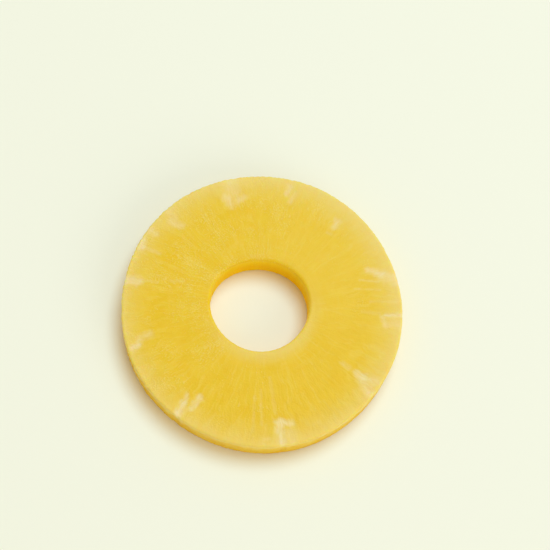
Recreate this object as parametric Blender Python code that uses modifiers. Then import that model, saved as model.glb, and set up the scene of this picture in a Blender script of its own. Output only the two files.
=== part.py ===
"""One slice of peeled and cored pineapple: a flat ring of soft fruit flesh.

The fruit is peeled to a drum, a round corer takes the tough middle out, and straight blades
cut the drum across into rings. So the two faces are flat, the hole wall is smooth, and the
outer wall keeps the shallow dents of the eyes that the peeling knife did not quite remove.
Metres, +Z up. The ring lies on its lower face, with the centre of that face at the origin.
"""

import math

import bpy
from mathutils import Vector, noise

# Driving dimensions of the slice
OUTER_DIAMETER = 0.080
HOLE_DIAMETER = 0.0275
THICKNESS = 0.0096
HOLE_CENTRE = Vector((-0.0008, 0.0005))     # the corer seldom runs exactly down the middle

# How far the fruit is from a true ring
RIM_OVAL = 0.00025                          # the drum is a little wider on one diagonal
RIM_OVAL_TURN = math.radians(125)
RIM_LUMP = 0.00012                          # broad flats left by the strokes of the peeler
RIM_LUMP_COUNT = 5
HOLE_OVAL = 0.00035                         # the soft hole wall has pulled wider along X
HOLE_LUMP = 0.00020
HOLE_LUMP_COUNT = 3
HOLE_LUMP_TURN = math.radians(40)

# Edges left by the blades, softer at the peeled rim than at the cored hole
RIM_ROUND = 0.0007
HOLE_ROUND = 0.0005
FOOT_ROUND = 0.0004
ROUND_STEPS = 3

# Eyes: one dent in the outer wall for each, and a shallow sunk streak on the cut face.
# They stand in a spiral round the fruit, so a slice meets them at uneven steps.
EYE_TURNS = [math.radians(turn) for turn in (4, 27, 59, 86, 114, 145, 178, 207, 244, 290, 334)]
EYE_WIDTH = math.radians(7)
EYE_WALL_DENT = 0.00028
EYE_FACE_DENT = 0.00018
EYE_REACH = 0.0090                          # how far an eye runs in from the rim

# Flesh that has sagged a little between its fibres
FACE_SWELL = 0.00012
FACE_SWELL_SIZE = 0.011
WALL_SWELL = 0.00012
WALL_SWELL_SIZE = 0.005

# Mesh steps
STEPS_AROUND = 120
FACE_STEPS = 11
WALL_STEPS = 4
BASE_STEPS = 2
MERGE = 0.00001

FLESH_COLOUR = (0.80, 0.57, 0.065, 1.0)
FLESH_ROUGHNESS = 0.38

RIM_RADIUS = OUTER_DIAMETER / 2
HOLE_RADIUS = HOLE_DIAMETER / 2


def clear_objects():
    """Empty the scene, without closing the file that the script runs from."""
    for old in list(bpy.data.objects):
        bpy.data.objects.remove(old, do_unlink=True)


def corner(radius, height, size, start):
    """Points of a quarter round, clockwise from the direction start, about its own centre."""
    turns = [start - math.radians(90) * step / ROUND_STEPS for step in range(ROUND_STEPS + 1)]
    return [(radius + size * math.cos(turn), height + size * math.sin(turn)) for turn in turns]


def between(start, end, steps):
    """The points that divide a straight run into equal steps, without its two ends."""
    shares = [step / steps for step in range(1, steps)]
    return [(start[0] + (end[0] - start[0]) * share, start[1] + (end[1] - start[1]) * share)
            for share in shares]


def cross_section():
    """The slice cut through on one side, from the upper rim down and round to the start."""
    corners = [
        corner(RIM_RADIUS - RIM_ROUND, THICKNESS - RIM_ROUND, RIM_ROUND, math.radians(90)),
        corner(RIM_RADIUS - FOOT_ROUND, FOOT_ROUND, FOOT_ROUND, 0.0),
        corner(HOLE_RADIUS + FOOT_ROUND, FOOT_ROUND, FOOT_ROUND, math.radians(-90)),
        corner(HOLE_RADIUS + HOLE_ROUND, THICKNESS - HOLE_ROUND, HOLE_ROUND, math.radians(180)),
    ]
    runs = [WALL_STEPS, BASE_STEPS, WALL_STEPS, FACE_STEPS]
    outline = []
    for index, steps in enumerate(runs):
        following = corners[(index + 1) % len(corners)]
        outline += corners[index] + between(corners[index][-1], following[0], steps)
    return outline


def turned_ring(name):
    """The true ring, before the fruit's unevenness: the cross-section turned about +Z."""
    outline = cross_section()
    edges = [(index, (index + 1) % len(outline)) for index in range(len(outline))]
    section = bpy.data.meshes.new(name + "_section")
    section.from_pydata([(radius, 0.0, height) for radius, height in outline], edges, [])

    turned = bpy.data.objects.new(name + "_turned", section)
    bpy.context.scene.collection.objects.link(turned)
    screw = turned.modifiers.new("turn", "SCREW")
    screw.axis = "Z"
    screw.steps = STEPS_AROUND
    screw.render_steps = STEPS_AROUND
    screw.use_merge_vertices = True
    screw.merge_threshold = MERGE

    evaluated = turned.evaluated_get(bpy.context.evaluated_depsgraph_get())
    mesh = bpy.data.meshes.new_from_object(evaluated)
    mesh.name = name
    bpy.data.objects.remove(turned, do_unlink=True)
    return mesh


def eye_depth(turn):
    """1 at the middle of an eye, falling softly to 0 on both sides of it."""
    depth = 0.0
    for middle in EYE_TURNS:
        off = math.remainder(turn - middle, math.tau)
        depth = max(depth, math.exp(-(off / EYE_WIDTH) ** 2))
    return depth


def rim_shift(turn):
    """How far the outer wall stands out from the true circle."""
    oval = RIM_OVAL * math.cos(2 * (turn - RIM_OVAL_TURN))
    lump = RIM_LUMP * math.cos(RIM_LUMP_COUNT * turn)
    return oval + lump


def hole_shift(turn):
    """How far the hole wall stands out from the true circle."""
    oval = HOLE_OVAL * math.cos(2 * turn)
    lump = HOLE_LUMP * math.cos(HOLE_LUMP_COUNT * (turn - HOLE_LUMP_TURN))
    return oval + lump


def swell(point, size):
    """Soft uneven flesh, from -1 to 1, with lumps of about the size given."""
    return noise.noise(point / size)


def shaped(point):
    """Moves one point of the true ring to where it lies on the uneven slice."""
    radius = math.hypot(point.x, point.y)
    turn = math.atan2(point.y, point.x)
    across = (radius - HOLE_RADIUS) / (RIM_RADIUS - HOLE_RADIUS)
    across = min(max(across, 0.0), 1.0)
    up = point.z / THICKNESS
    middle_height = math.sin(math.pi * up)

    wall = WALL_SWELL * swell(point, WALL_SWELL_SIZE) * middle_height
    dent = EYE_WALL_DENT * eye_depth(turn) * middle_height
    rim = rim_shift(turn) + wall - dent
    new_radius = radius + rim * across + hole_shift(turn) * (1.0 - across)

    from_rim = (RIM_RADIUS - radius) / EYE_REACH
    streak = EYE_FACE_DENT * eye_depth(turn) * math.exp(-from_rim ** 2)
    face = FACE_SWELL * swell(Vector((point.x, point.y, 0.0)), FACE_SWELL_SIZE)
    new_height = point.z + (face - streak - FACE_SWELL) * up ** 2

    centre = HOLE_CENTRE * (1.0 - across)
    return Vector((new_radius * math.cos(turn) + centre.x,
                   new_radius * math.sin(turn) + centre.y,
                   new_height))


def centre_on_base(mesh):
    """Puts the origin under the middle of the slice, at the height of its lower face."""
    for axis in range(2):
        places = [vertex.co[axis] for vertex in mesh.vertices]
        middle = (min(places) + max(places)) / 2
        for vertex in mesh.vertices:
            vertex.co[axis] -= middle


def flesh_material():
    """Ripe flesh, wet with its own juice."""
    material = bpy.data.materials.new("pineapple_flesh")
    material.use_nodes = True
    shader = material.node_tree.nodes["Principled BSDF"]
    shader.inputs["Base Color"].default_value = FLESH_COLOUR
    shader.inputs["Roughness"].default_value = FLESH_ROUGHNESS
    shader.inputs["Metallic"].default_value = 0.0
    return material


def pineapple_ring(collection):
    """The whole slice: one soft, uneven ring, in one piece."""
    mesh = turned_ring("pineapple_ring")
    for vertex in mesh.vertices:
        vertex.co = shaped(vertex.co)
    centre_on_base(mesh)
    mesh.materials.append(flesh_material())
    mesh.shade_smooth()
    ring = bpy.data.objects.new("pineapple_ring", mesh)
    collection.objects.link(ring)
    return ring


clear_objects()
slice_parts = bpy.data.collections.new("pineapple_ring")
bpy.context.scene.collection.children.link(slice_parts)
pineapple_ring(slice_parts)
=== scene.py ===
"""One ring of tinned pineapple on a plain pale floor, in soft light from above.

Sizes are in metres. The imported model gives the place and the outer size, and this script
makes the flesh itself: its shape, its fibres and its looks.
"""

import math

import bpy
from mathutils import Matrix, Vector, noise


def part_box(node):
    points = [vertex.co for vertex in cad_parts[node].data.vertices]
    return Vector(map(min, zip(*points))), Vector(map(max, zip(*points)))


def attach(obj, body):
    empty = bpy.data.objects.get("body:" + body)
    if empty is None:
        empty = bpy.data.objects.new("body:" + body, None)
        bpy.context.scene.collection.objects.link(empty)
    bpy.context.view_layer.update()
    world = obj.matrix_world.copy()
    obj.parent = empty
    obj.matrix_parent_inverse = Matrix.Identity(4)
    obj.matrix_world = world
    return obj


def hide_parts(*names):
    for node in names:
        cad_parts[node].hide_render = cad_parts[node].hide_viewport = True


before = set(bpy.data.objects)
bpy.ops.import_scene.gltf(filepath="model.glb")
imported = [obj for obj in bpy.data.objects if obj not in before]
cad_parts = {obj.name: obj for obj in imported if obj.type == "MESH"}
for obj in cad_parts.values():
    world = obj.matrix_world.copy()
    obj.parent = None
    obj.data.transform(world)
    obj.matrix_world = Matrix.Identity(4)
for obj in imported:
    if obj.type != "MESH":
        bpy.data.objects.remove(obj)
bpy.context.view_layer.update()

# ---------------------------------------------------------------------------------------------
# The ring of flesh
# The fruit is peeled to a drum, its tough middle is bored out, and blades cut the drum across.
# It is one soft piece of fibres that run out from the core to the rim, where pale eyes end in
# the flesh. The cut is flat, but the fibres stand a little proud and the rim is slightly torn.
# ---------------------------------------------------------------------------------------------

MM = 0.001

ring_low, ring_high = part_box("pineapple_ring")

RIM_RADIUS = 40.0 * MM
HOLE_RADIUS = 13.75 * MM
THICKNESS = 9.6 * MM
HOLE_CENTRE = Vector((-0.8 * MM, 0.5 * MM))

RIM_ROUND = 0.70 * MM
HOLE_ROUND = 0.80 * MM
ROUND_SEGMENTS = 4
STEPS_AROUND = 720
FACE_CUTS = 60
WALL_CUTS = 16
BASE_CUTS = 26
SEAM = 0.005 * MM               # points of the closed turn nearer than this are made one


def select_only(obj):
    """Makes one object the only one selected, and the active one."""
    bpy.ops.object.select_all(action="DESELECT")
    obj.select_set(True)
    bpy.context.view_layer.objects.active = obj


def select_edges(mesh, wanted):
    """In edit mode, selects the edges whose two ends both pass the test, and no others."""
    bpy.ops.mesh.select_all(action="DESELECT")
    bpy.ops.object.mode_set(mode="OBJECT")
    for edge in mesh.edges:
        edge.select = all(wanted(mesh.vertices[index].co) for index in edge.vertices)
    bpy.ops.object.mode_set(mode="EDIT")


def select_points(mesh, wanted):
    """In edit mode, selects the points that pass the test, and no others."""
    bpy.ops.mesh.select_all(action="DESELECT")
    bpy.ops.object.mode_set(mode="OBJECT")
    for point in mesh.vertices:
        point.select = wanted(point.co)
    bpy.ops.object.mode_set(mode="EDIT")


# The cross-section is a plate between the hole and the rim, stood up along +X.
bpy.ops.object.select_all(action="DESELECT")
width = RIM_RADIUS - HOLE_RADIUS
bpy.ops.mesh.primitive_plane_add(size=1.0, location=(HOLE_RADIUS + width / 2, 0, THICKNESS / 2),
                                 rotation=(math.radians(90), 0, 0))
ring = bpy.context.active_object
ring.name = "ring_of_flesh"
ring.data.name = "ring_of_flesh"
ring.scale = (width, THICKNESS, 1)
bpy.ops.object.transform_apply(location=True, rotation=True, scale=True)

# Its corners are rounded, and its runs are cut into short steps.
bpy.ops.object.mode_set(mode="EDIT")
bpy.ops.mesh.select_mode(type="VERT")
middle = HOLE_RADIUS + width / 2
CORNERS = (
    (lambda co: co.x > middle, RIM_ROUND),
    (lambda co: co.x < middle, HOLE_ROUND),
)
for is_corner, size in CORNERS:
    select_points(ring.data, is_corner)
    bpy.ops.mesh.bevel(offset=size, segments=ROUND_SEGMENTS, affect="VERTICES")
bpy.ops.mesh.select_all(action="SELECT")
bpy.ops.mesh.delete(type="ONLY_FACE")
bpy.ops.mesh.select_mode(type="EDGE")
HAIR = 0.001 * MM               # nearer than this counts as on the line
RUNS = (
    (lambda co: co.z > THICKNESS - HAIR, FACE_CUTS),
    (lambda co: co.z < HAIR, BASE_CUTS),
    (lambda co: co.x > RIM_RADIUS - HAIR, WALL_CUTS),
    (lambda co: co.x < HOLE_RADIUS + HAIR, WALL_CUTS),
)
for on_run, cuts in RUNS:
    select_edges(ring.data, on_run)
    bpy.ops.mesh.subdivide(number_cuts=cuts)

# It is spun round +Z into a ring.
bpy.ops.mesh.select_all(action="SELECT")
bpy.ops.mesh.spin(steps=STEPS_AROUND, angle=math.tau, center=(0, 0, 0), axis=(0, 0, 1))
bpy.ops.mesh.select_all(action="SELECT")
bpy.ops.mesh.remove_doubles(threshold=SEAM)
bpy.ops.mesh.normals_make_consistent(inside=False)
bpy.ops.object.mode_set(mode="OBJECT")

# Each eye of the fruit ends in the cut face as a few pale strokes that run in from the rim.
# A stroke is: turn and radius of its outer end, of its inner end, its width, and its paleness.
EYE_STROKES = (
    (2.5, 39.8, 3.0, 37.0, 2.2, 0.35),
    (6.9, 39.5, 6.4, 35.2, 1.0, 0.85),
    (1.8, 35.4, 4.8, 34.4, 1.3, 0.55),
    (6.8, 33.5, 7.2, 28.5, 0.7, 0.15),
    (12.9, 39.5, 13.1, 31.0, 0.6, 0.20),
    (22.5, 39.5, 25.8, 36.0, 2.8, 0.60),
    (26.5, 36.0, 30.2, 32.7, 1.5, 0.72),
    (23.0, 34.5, 26.0, 29.3, 0.5, 0.38),
    (18.8, 34.5, 21.3, 27.0, 0.4, 0.25),
    (59.6, 34.2, 58.6, 32.3, 1.5, 0.65),
    (59.3, 29.4, 57.2, 30.0, 0.7, 0.32),
    (87.3, 37.5, 88.0, 34.8, 1.1, 0.65),
    (84.0, 36.0, 85.0, 32.8, 1.2, 0.40),
    (113.8, 38.5, 113.8, 34.0, 3.6, 0.50),
    (117.6, 34.5, 116.0, 31.5, 1.6, 0.55),
    (108.8, 33.4, 112.0, 32.2, 1.3, 0.50),
    (142.8, 39.5, 144.0, 36.0, 2.2, 0.40),
    (146.4, 35.8, 144.2, 33.0, 1.7, 0.60),
    (155.0, 40.0, 155.0, 37.0, 1.6, 0.52),
    (160.0, 39.2, 163.6, 38.4, 1.5, 0.95),
    (163.0, 38.0, 162.3, 32.5, 0.9, 0.38),
    (179.0, 40.0, 178.6, 35.9, 2.1, 1.00),
    (177.6, 35.0, 177.4, 30.0, 0.7, 0.25),
    (174.5, 26.5, 172.8, 22.5, 0.7, 0.22),
    (209.2, 38.2, 208.6, 36.4, 1.3, 0.90),
    (206.0, 35.5, 205.6, 32.4, 1.7, 0.50),
    (243.4, 39.5, 242.6, 35.7, 1.6, 0.95),
    (242.6, 35.2, 241.4, 33.2, 1.0, 0.60),
    (246.8, 35.2, 247.4, 31.8, 1.5, 0.80),
    (282.8, 37.6, 280.8, 37.8, 0.7, 0.35),
    (275.8, 36.0, 276.2, 24.0, 0.6, 0.16),
    (279.8, 34.0, 280.0, 22.0, 0.6, 0.18),
    (287.0, 31.0, 286.8, 20.5, 0.8, 0.18),
    (288.0, 40.0, 287.9, 33.6, 1.8, 0.80),
    (293.8, 34.3, 289.0, 33.5, 1.3, 0.85),
    (292.0, 39.5, 292.2, 36.5, 1.9, 0.42),
    (330.3, 38.8, 333.2, 34.8, 2.3, 0.58),
    (336.0, 38.0, 334.4, 35.0, 1.7, 0.50),
    (334.0, 34.6, 334.0, 32.5, 1.4, 0.70),
    (333.8, 30.0, 333.6, 28.2, 1.1, 0.30),
)


def polar(turn_deg, radius_mm):
    """The point of the cut face at a turn from +X and a distance from the middle."""
    turn = math.radians(turn_deg)
    return Vector((math.cos(turn), math.sin(turn))) * radius_mm * MM


STROKES = [(polar(outer_turn, outer), polar(inner_turn, inner), size * MM, paleness)
           for outer_turn, outer, inner_turn, inner, size, paleness in EYE_STROKES]
EYES_END = 20 * MM              # no eye reaches nearer to the middle
STROKE_REACH = 10 * MM          # nor shows farther than this from its stroke's outer end
FRAY_FULL = 1.8 * MM            # a thinner stroke than this is frayed less


def eye_paleness(x, y):
    """How much of an eye shows at a point of the cut face, 0 to 1, with a frayed edge."""
    here = Vector((x, y))
    if here.length < EYES_END:
        return 0.0
    frayed = noise.noise(Vector((x, y, 0.0)) / (1.3 * MM)) * 0.55 * MM
    frayed += noise.noise(Vector((x, y, 0.0)) / (0.6 * MM)) * 0.25 * MM
    bare = 1.0
    for outer, inner, size, paleness in STROKES:
        from_outer = here - outer
        if from_outer.length > STROKE_REACH:
            continue
        along = inner - outer
        share = min(max(from_outer.dot(along) / along.length_squared, 0.0), 1.0)
        away = (from_outer - along * share).length + frayed * min(1.0, size / FRAY_FULL)
        cover = 1.0 - min(max(away / (size * 1.15), 0.0), 1.0)
        bare *= 1.0 - paleness * cover * cover * (3 - 2 * cover)
    return 1.0 - bare


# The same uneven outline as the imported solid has.
RIM_OVAL = 0.25 * MM
RIM_OVAL_TURN = math.radians(125)
RIM_LUMP = 0.12 * MM
HOLE_OVAL = 0.35 * MM
HOLE_LUMP = 0.20 * MM
HOLE_LUMP_TURN = math.radians(40)

FIBRE_RISE = 0.030 * MM         # bundles of fibres, about 0.9 mm wide half way out
FIBRE_CELLS = 30
FIBRE_LENGTH = 5.0 * MM
SWELL_RISE = 0.12 * MM          # soft flesh that has sunk a little between them
SWELL_SIZE = 9.0 * MM
GRAIN_RISE = 0.022 * MM         # fine grain of the cut
GRAIN_SIZE = 1.3 * MM
EYE_SINK = 0.16 * MM
EYE_NOTCH = 0.45 * MM           # what the eyes leave in the peeled wall
TEAR = 0.20 * MM                # fibres that the peeling knife pulled, most on the far left
TEAR_TURN = math.radians(150)
WALL_LUMP = 0.24 * MM           # unevenness of the peeled wall, coarse and fine
WALL_GRAIN = 0.07 * MM
CORE_STREAK = 0.06 * MM         # nicks that the corer left in the bored wall
EDGE_REACH = 1.2 * MM           # how far the unevenness of the walls runs into the faces


def along_fibres(co, radius, cells, length):
    """A place in a noise whose cells are narrow round the ring and long along the fibres."""
    return Vector((co.x / radius * cells, co.y / radius * cells, radius / length))


def wall_noise(co, size, drawn):
    """Uneven flesh on a wall, with lumps of the size given, drawn out up the wall."""
    return noise.noise(Vector((co.x, co.y, co.z * drawn)) / size)


def shaped(co):
    """Where a point of the true ring lies on the fruit, and how pale an eye is there."""
    radius = math.hypot(co.x, co.y)
    turn = math.atan2(co.y, co.x)
    across = min(max((radius - HOLE_RADIUS) / width, 0.0), 1.0)
    up = co.z / THICKNESS
    on_wall = math.sin(math.pi * up)
    near_rim = max(0.0, 1.0 - (RIM_RADIUS - radius) / EDGE_REACH)
    near_core = max(0.0, 1.0 - (radius - HOLE_RADIUS) / EDGE_REACH)
    paleness = eye_paleness(co.x, co.y)

    # outwards: oval, torn and lumpy at the rim, smoother in the bore
    tear = TEAR * (0.75 + 0.45 * math.cos(turn - TEAR_TURN))
    torn = wall_noise(co, 0.85 * MM, 0.35) + 0.6 * wall_noise(co, 0.4 * MM, 0.6) - 0.6
    lumps = WALL_LUMP * (wall_noise(co, 3.0 * MM, 0.8) - 0.3) * on_wall
    lumps += WALL_GRAIN * (wall_noise(co, 1.1 * MM, 0.7) - 0.3) * on_wall
    rim = RIM_OVAL * math.cos(2 * (turn - RIM_OVAL_TURN)) + RIM_LUMP * math.cos(5 * turn)
    rim += near_rim * (tear * torn + lumps - EYE_NOTCH * paleness * on_wall)
    hole = HOLE_OVAL * math.cos(2 * turn) + HOLE_LUMP * math.cos(3 * (turn - HOLE_LUMP_TURN))
    hole += near_core * CORE_STREAK * wall_noise(co, 0.9 * MM, 0.2)
    hole += near_core * CORE_STREAK * wall_noise(co, 0.45 * MM, 0.5)
    new_radius = radius + rim * across + hole * (1.0 - across)

    # upwards: fibres that stand proud, and flesh that has sunk between them and in the eyes
    drawn = min(1.0, across * 1.6)
    bundle = noise.noise(along_fibres(co, radius, FIBRE_CELLS, FIBRE_LENGTH))
    bundle += 0.5 * noise.noise(along_fibres(co, radius, 2 * FIBRE_CELLS, FIBRE_LENGTH / 2))
    relief = FIBRE_RISE * drawn * bundle
    relief += GRAIN_RISE * noise.noise(Vector(co) / GRAIN_SIZE)
    relief += SWELL_RISE * (noise.noise(Vector((co.x, co.y, 5 * MM)) / SWELL_SIZE) - 1.0)
    relief -= EYE_SINK * paleness
    flat = 1.0 - max(near_rim, near_core) * 0.5
    new_height = co.z + relief * flat * up ** 2
    if up < 0.05:
        new_height += max(0.0, FIBRE_RISE * drawn * bundle) * flat

    shift = HOLE_CENTRE * (1.0 - across)
    place = Vector((new_radius * math.cos(turn) + shift.x,
                    new_radius * math.sin(turn) + shift.y, new_height))
    return place, paleness


def fit_between(value, low, high, new_low, new_high):
    """Moves a value from one span to another."""
    return new_low + (value - low) / (high - low) * (new_high - new_low)


# What the flesh's colour needs to know of each point: how much of an eye it holds, how far
# out it is, and how far down the peeled wall (above 0) or the bored wall (below 0).
eye = ring.data.attributes.new("eye", "FLOAT", "POINT")
outwards = ring.data.attributes.new("outwards", "FLOAT", "POINT")
down = ring.data.attributes.new("down", "FLOAT", "POINT")
for index, point in enumerate(ring.data.vertices):
    start = point.co.copy()
    radius = math.hypot(start.x, start.y)
    point.co, paleness = shaped(start)
    below = (THICKNESS - start.z) / THICKNESS
    if radius > RIM_RADIUS - RIM_ROUND:
        down.data[index].value = below
        paleness *= max(0.0, 1.0 - (below / 0.75) ** 2)
    elif radius < HOLE_RADIUS + HOLE_ROUND:
        down.data[index].value = -below
    eye.data[index].value = paleness
    outwards.data[index].value = (radius - HOLE_RADIUS) / width

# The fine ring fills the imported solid's box, and never stands out of it.
for axis in range(3):
    places = [point.co[axis] for point in ring.data.vertices]
    low, high = min(places), max(places)
    for point in ring.data.vertices:
        point.co[axis] = fit_between(point.co[axis], low, high, ring_low[axis], ring_high[axis])
ring.data.update()
select_only(ring)
bpy.ops.object.shade_smooth()

# Ripe flesh, tinned in its own juice: a wet, yellow, cloudy jelly held by paler fibres.
# The eye gets a warm yellow that light sinks into, cream where the rim and the eyes are dry
# and full of air, short pale dashes where fibres end, and small glints from the film of juice.


def linear(code):
    """An sRGB hex colour as the linear values that a shader takes."""
    values = [int(code[place:place + 2], 16) / 255 for place in (0, 2, 4)]
    return [v / 12.92 if v <= 0.04045 else ((v + 0.055) / 1.055) ** 2.4 for v in values] + [1.0]


def add(tree, kind, output, inputs, **settings):
    """Adds a node with its settings and links, and gives the output asked for."""
    made = tree.nodes.new(kind)
    for name, value in settings.items():
        setattr(made, name, value)
    for name, value in inputs.items():
        if isinstance(value, bpy.types.NodeSocket):
            tree.links.new(value, made.inputs[name])
        else:
            made.inputs[name].default_value = value
    return made.outputs[output] if output is not None else None


# painted shade: a deeper amber laid where shade falls, in the grooves between fibres and at the far
# edge of the bore
SHADE_AMBER = linear("DEB616")
FLESH_DEEP = linear("EAC31A")
FLESH = linear("ECC729")
FLESH_PALE = linear("EFCF48")
FIBRE_END = linear("F4DC78")
RIM_CREAM = linear("ECD472")
RIM_EDGE = linear("F4D778")
EYE_CREAM = linear("F3DE9E")
WALL_TOP = linear("F4CE48")
# the foot of the peeled wall: its own ochre, painted darker there as shade next to the floor
WALL_FOOT_SHADED = linear("E8B218")
# the bored wall: a deep amber of its own, painted deeper towards its foot as shade down the bore
BORE_TOP = linear("FFDA08")
BORE_FOOT_SHADED = linear("FFC700")

flesh = bpy.data.materials.new("ripe_pineapple_flesh")
flesh.use_nodes = True
tree = flesh.node_tree
tree.nodes.clear()

place = add(tree, "ShaderNodeTexCoord", "Object", {})
flat_place = add(tree, "ShaderNodeVectorMath", 0, {0: place, 1: (1, 1, 0)}, operation="MULTIPLY")
heading = add(tree, "ShaderNodeVectorMath", 0, {0: flat_place}, operation="NORMALIZE")
distance = add(tree, "ShaderNodeVectorMath", "Value", {0: flat_place}, operation="LENGTH")
height = add(tree, "ShaderNodeSeparateXYZ", "Z", {0: place})
to_right = add(tree, "ShaderNodeSeparateXYZ", "X", {0: heading})
to_back = add(tree, "ShaderNodeSeparateXYZ", "Y", {0: heading})
eye_here = add(tree, "ShaderNodeAttribute", "Fac", {}, attribute_name="eye")
out_here = add(tree, "ShaderNodeAttribute", "Fac", {}, attribute_name="outwards")
down_here = add(tree, "ShaderNodeAttribute", "Fac", {}, attribute_name="down")

# the peeled wall is blotchy: the deeper flesh shows through it unevenly; and it grows darker
# towards its foot, painted shade next to the floor
BLOTCH_SIZE = 3.0 * MM
blotches = add(tree, "ShaderNodeTexNoise", "Fac",
               {"Vector": place, "Scale": 1 / BLOTCH_SIZE, "Detail": 3})
blotches = add(tree, "ShaderNodeMath", 0, {0: blotches, 1: 0.90, 2: -0.45},
               operation="MULTIPLY_ADD")
on_peel = add(tree, "ShaderNodeMapRange", 0,
              {"Value": down_here, "From Min": 0.02, "From Max": 0.20})
peel_blotches_and_shade = add(tree, "ShaderNodeMath", 0, {0: blotches, 1: on_peel, 2: down_here},
           operation="MULTIPLY_ADD")

# the fibres wander a little from straight
WANDER_SIZE = 7 * MM
WANDER = 0.13
wander = add(tree, "ShaderNodeTexNoise", "Color",
             {"Vector": place, "Scale": 1 / WANDER_SIZE, "Detail": 2})
wander = add(tree, "ShaderNodeVectorMath", 0, {0: wander, 1: (0.5, 0.5, 0.5)}, operation="SUBTRACT")
wander = add(tree, "ShaderNodeVectorMath", 0, {0: wander, "Scale": WANDER}, operation="SCALE")
heading = add(tree, "ShaderNodeVectorMath", 0, {0: heading, 1: wander}, operation="ADD")
WALL_SPOT = 0.8 * MM            # on the walls, the same fibres are cut across into spots
HALF_WAY_OUT = 26 * MM


def fibre_pattern(width, length, detail, drift):
    """Noise in streaks that run outwards, of the width that they have half way to the rim."""
    cells = HALF_WAY_OUT / width
    spots = add(tree, "ShaderNodeMath", 0, {0: height, 1: 1 / WALL_SPOT, 2: drift},
                operation="MULTIPLY_ADD")
    run = add(tree, "ShaderNodeMath", 0, {0: distance, 1: 1 / length, 2: spots},
              operation="MULTIPLY_ADD")
    run = add(tree, "ShaderNodeCombineXYZ", 0, {"Z": run})
    vector = add(tree, "ShaderNodeVectorMath", 0, {0: heading, 1: (cells, cells, cells), 2: run},
                 operation="MULTIPLY_ADD")
    return add(tree, "ShaderNodeTexNoise", "Fac", {"Vector": vector, "Scale": 1, "Detail": detail})


# bundles, single fibres, cut ends and the corer's arcs, each with its width and length
bundles = fibre_pattern(1.0 * MM, 9 * MM, 2, 3)
fibres = fibre_pattern(0.45 * MM, 4.5 * MM, 1.5, 11)
dashes = fibre_pattern(0.32 * MM, 2.6 * MM, 0.5, 23)
arcs = fibre_pattern(8 * MM, 1.1 * MM, 2, 31)

# uneven ripeness, the patches where fibres stand up, and crumbs of flesh
MOTTLE_SIZE = 3.5 * MM
PATCH_SIZE = 8 * MM
CRUMB_SIZE = 0.45 * MM
mottle = add(tree, "ShaderNodeTexNoise", "Fac",
             {"Vector": place, "Scale": 1 / MOTTLE_SIZE, "Detail": 2})
patches = add(tree, "ShaderNodeTexNoise", "Fac",
              {"Vector": place, "Scale": 1 / PATCH_SIZE, "Detail": 1})
crumbs = add(tree, "ShaderNodeTexNoise", "Fac",
             {"Vector": place, "Scale": 1 / CRUMB_SIZE, "Detail": 1})

# near the core the fibres are packed too close to see, and the corer has left faint arcs
fibrous = add(tree, "ShaderNodeMapRange", 0,
              {"Value": out_here, "From Min": 0.10, "From Max": 0.50, "To Min": 0.25})
fibres = add(tree, "ShaderNodeMix", 0, {0: fibrous, 2: 0.5, 3: fibres})
bored = add(tree, "ShaderNodeMapRange", 0,
            {"Value": out_here, "From Min": 0.60, "From Max": 0.20})
arcs = add(tree, "ShaderNodeMix", 0, {0: bored, 2: 0.5, 3: arcs})

# the ends of fibres stand up in patches, most of them on the far left, where the blade came out
frayed = add(tree, "ShaderNodeMath", 0, {0: to_right, 1: -0.08, 2: -0.34},
             operation="MULTIPLY_ADD")
frayed = add(tree, "ShaderNodeMath", 0, {0: patches, 1: 0.55, 2: frayed},
             operation="MULTIPLY_ADD")
frayed = add(tree, "ShaderNodeMath", 0, {0: to_back, 1: 0.04, 2: frayed},
             operation="MULTIPLY_ADD")
ends = add(tree, "ShaderNodeMath", 0, {0: dashes, 1: frayed}, operation="ADD")
ends = add(tree, "ShaderNodeMapRange", 0,
           {"Value": ends, "From Min": 0.60, "From Max": 0.76})
bits = add(tree, "ShaderNodeMath", 0, {0: crumbs, 1: frayed}, operation="ADD")
bits = add(tree, "ShaderNodeMapRange", 0,
           {"Value": bits, "From Min": 0.59, "From Max": 0.70})

# the flesh is painted a little paler on the far right, the side the key light comes from: painted
# light
far_right_light = add(tree, "ShaderNodeMath", 0, {0: to_right, 1: to_back}, operation="ADD")

# the pale band at the rim is ragged, and wider on the far side
ragged = add(tree, "ShaderNodeMath", 0, {0: bundles, 1: 0.13, 2: out_here},
             operation="MULTIPLY_ADD")
ragged = add(tree, "ShaderNodeMath", 0, {0: to_back, 1: 0.036, 2: ragged},
             operation="MULTIPLY_ADD")
ragged = add(tree, "ShaderNodeMath", 0, {0: to_right, 1: 0.01, 2: ragged},
             operation="MULTIPLY_ADD")
band = add(tree, "ShaderNodeMapRange", 0,
           {"Value": ragged, "From Min": 0.65, "From Max": 1.08})
band = add(tree, "ShaderNodeMath", 0, {0: band, 1: 2}, operation="POWER")

# a narrower one at the bore, on the near side only, and most on its right
bore_edge = add(tree, "ShaderNodeMapRange", 0,
                {"Value": out_here, "From Min": 0.20, "From Max": 0},
                interpolation_type="SMOOTHSTEP")
near_side = add(tree, "ShaderNodeMath", 0, {0: to_right, 1: -0.5, 2: to_back},
                operation="MULTIPLY_ADD")
near_side = add(tree, "ShaderNodeMapRange", 0,
                {"Value": near_side, "From Min": 0.3, "From Max": -1.1, "To Max": 0.75})
bore_edge = add(tree, "ShaderNodeMath", 0, {0: bore_edge, 1: near_side}, operation="MULTIPLY")

# and on the far side, a deeper amber one: painted shade where the face turns down into the bore
far_bore_shade = add(tree, "ShaderNodeMapRange", 0,
                 {"Value": out_here, "From Min": 0.12, "From Max": 0},
                 interpolation_type="SMOOTHSTEP")
far_side = add(tree, "ShaderNodeMapRange", 0,
               {"Value": to_back, "From Min": 0.0, "From Max": 0.7, "To Max": 0.35})
far_bore_shade = add(tree, "ShaderNodeMath", 0, {0: far_bore_shade, 1: far_side}, operation="MULTIPLY")

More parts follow.
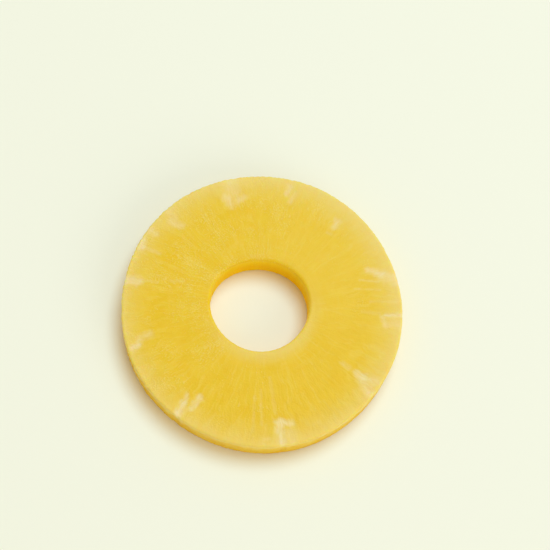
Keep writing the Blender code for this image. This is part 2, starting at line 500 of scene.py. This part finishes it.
# the eyes are streaked along the fibres
streaks = add(tree, "ShaderNodeMapRange", 0,
              {"Value": fibres, "From Min": 0.35, "From Max": 0.62, "To Min": 0.60})
in_eye = add(tree, "ShaderNodeMath", 0, {0: eye_here, 1: streaks}, operation="MULTIPLY")
eye_on_peel = add(tree, "ShaderNodeMath", 0, {0: in_eye, 1: on_peel}, operation="MULTIPLY")

# Each tone lies over the ones before: its pattern, where in it the tone starts and is full,
# how much it covers there, and its colour.
tone = FLESH_DEEP
TONES = (
    (mottle, 0.35, 0.68, 1.00, FLESH),
    # painted light on the far right
    (far_right_light, 0.40, 1.40, 0.30, FLESH_PALE),
    (bundles, 0.50, 0.70, 0.60, FLESH_PALE),
    # painted shade in the grooves between the fibres
    (fibres, 0.46, 0.28, 0.22, SHADE_AMBER),
    (fibres, 0.56, 0.74, 0.25, FLESH_PALE),
    (arcs, 0.52, 0.74, 0.40, FLESH_PALE),
    (band, 0.00, 1.00, 1.00, RIM_CREAM),
    (bore_edge, 0.00, 1.00, 1.00, RIM_CREAM),
    # painted shade at the far edge of the bore
    (far_bore_shade, 0.00, 1.00, 1.00, SHADE_AMBER),
    (ends, 0.00, 1.00, 0.30, FIBRE_END),
    (bits, 0.00, 1.00, 0.42, FIBRE_END),
    (in_eye, 0.00, 1.00, 1.00, EYE_CREAM),
    (down_here, 0.00, 0.06, 0.45, RIM_EDGE),
    (peel_blotches_and_shade, 0.08, 0.34, 0.90, WALL_TOP),
    # painted shade towards the foot of the peeled wall
    (peel_blotches_and_shade, 0.30, 1.00, 0.85, WALL_FOOT_SHADED),
    (eye_on_peel, 0.10, 0.80, 0.60, RIM_CREAM),
    (down_here, 0.00, -0.15, 0.95, BORE_TOP),
    # painted shade towards the foot of the bored wall
    (down_here, -0.15, -0.60, 0.95, BORE_FOOT_SHADED),
)
for pattern, starts, full, most, colour in TONES:
    cover = add(tree, "ShaderNodeMapRange", 0,
                {"Value": pattern, "From Min": starts, "From Max": full, "To Max": most})
    tone = add(tree, "ShaderNodeMix", 2, {0: cover, 6: tone, 7: colour}, data_type="RGBA")

# what is too fine for the mesh: how much of the finest relief each pattern makes
RELIEF = 0.20 * MM
SHARES = ((fibres, 0.32), (dashes, 0.17), (arcs, 0.3), (crumbs, 0.36), (ends, 0.16), (bits, 0.16))
rise = 0
for pattern, share in SHARES:
    rise = add(tree, "ShaderNodeMath", 0, {0: pattern, 1: share, 2: rise},
               operation="MULTIPLY_ADD")
bumpy = add(tree, "ShaderNodeBump", 0, {"Height": rise, "Strength": 0.75, "Distance": RELIEF})

# the faces are cut clean and hold the juice; the walls are duller
steep = add(tree, "ShaderNodeMath", 0, {0: down_here}, operation="ABSOLUTE")
gloss = add(tree, "ShaderNodeMapRange", 0,
            {"Value": steep, "From Max": 0.3, "To Min": 0.32, "To Max": 0.70})

shader = add(tree, "ShaderNodeBsdfPrincipled", 0, {
    "Base Color": tone,
    "Roughness": gloss,
    "IOR": 1.36,
    "Subsurface Weight": 0.6,
    "Subsurface Radius": (1.0, 0.60, 0.08),
    "Subsurface Scale": 2.2 * MM,
    "Specular IOR Level": 0.11,
    "Coat Weight": 0.04,
    "Coat Roughness": 0.12,
    "Coat IOR": 1.33,
    "Normal": bumpy,
})
add(tree, "ShaderNodeOutputMaterial", None, {"Surface": shader})
ring.data.materials.append(flesh)

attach(ring, "root")
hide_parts("pineapple_ring")

# ---------------------------------------------------------------------------------------------
# The floor: a wide sheet of matt cream card, which the ring lies on.
# ---------------------------------------------------------------------------------------------

FLOOR_WIDTH = 4.0
FLOOR_GAP = 0.03 * MM

bpy.ops.object.select_all(action="DESELECT")
bpy.ops.mesh.primitive_plane_add(size=FLOOR_WIDTH, location=(0, 0, -FLOOR_GAP))
floor = bpy.context.active_object
floor.name = "floor"
card = bpy.data.materials.new("matt_cream_card")
card.use_nodes = True
paint = card.node_tree.nodes["Principled BSDF"]
paint.inputs["Base Color"].default_value = linear("F5F5DC")
paint.inputs["Roughness"].default_value = 0.9
paint.inputs["Specular IOR Level"].default_value = 0.1
floor.data.materials.append(card)

# ---------------------------------------------------------------------------------------------
# The light: a large soft box high on the far right, a weaker one low in front, and pale light
# from all round. Seen directly, the room is a plain pale backdrop.
# ---------------------------------------------------------------------------------------------

def soft_box(name, place, size, watts, colour):
    """A round soft box that points at the ring."""
    bpy.ops.object.light_add(type="AREA", location=place)
    lamp = bpy.context.active_object
    lamp.name = name
    lamp.data.shape = "DISK"
    lamp.data.size = size
    lamp.data.energy = watts
    lamp.data.color = linear(colour)[:3]
    lamp.rotation_euler = (-Vector(place)).to_track_quat("-Z", "Y").to_euler()


soft_box("key_box", (0.36, 0.70, 2.15), 1.4, 37.5, "C0DEFF")
soft_box("fill_box", (1.5, -1.2, 1.0), 1.6, 10.5, "FFFFFF")

world = bpy.data.worlds.new("pale_room")
world.use_nodes = True
room = world.node_tree.nodes["Background"]
room.inputs["Color"].default_value = linear("FFEACE")
room.inputs["Strength"].default_value = 0.57
backdrop = add(world.node_tree, "ShaderNodeBackground", 0, {"Color": linear("EDEBDD")})
seen = add(world.node_tree, "ShaderNodeLightPath", "Is Camera Ray", {})
both = add(world.node_tree, "ShaderNodeMixShader", 0, {0: seen, 1: room.outputs[0], 2: backdrop})
world.node_tree.links.new(both, world.node_tree.nodes["World Output"].inputs["Surface"])
bpy.context.scene.world = world
bpy.context.scene.view_settings.view_transform = "Standard"

# ---------------------------------------------------------------------------------------------
# The camera looks steeply down on the cut face, a little turned about its own axis.
# ---------------------------------------------------------------------------------------------

CAMERA_PLACE = Vector((0.0018, -0.1089, 0.3580))
CAMERA_TILT = math.radians(18.82)
CAMERA_ROLL = math.radians(10.23)
CAMERA_SPREAD = math.radians(24)

bpy.ops.object.camera_add(location=CAMERA_PLACE)
camera = bpy.context.active_object
camera.name = "camera"
camera.rotation_mode = "ZYX"
camera.rotation_euler = (CAMERA_TILT, 0, CAMERA_ROLL)
camera.data.angle = CAMERA_SPREAD
bpy.context.scene.camera = camera
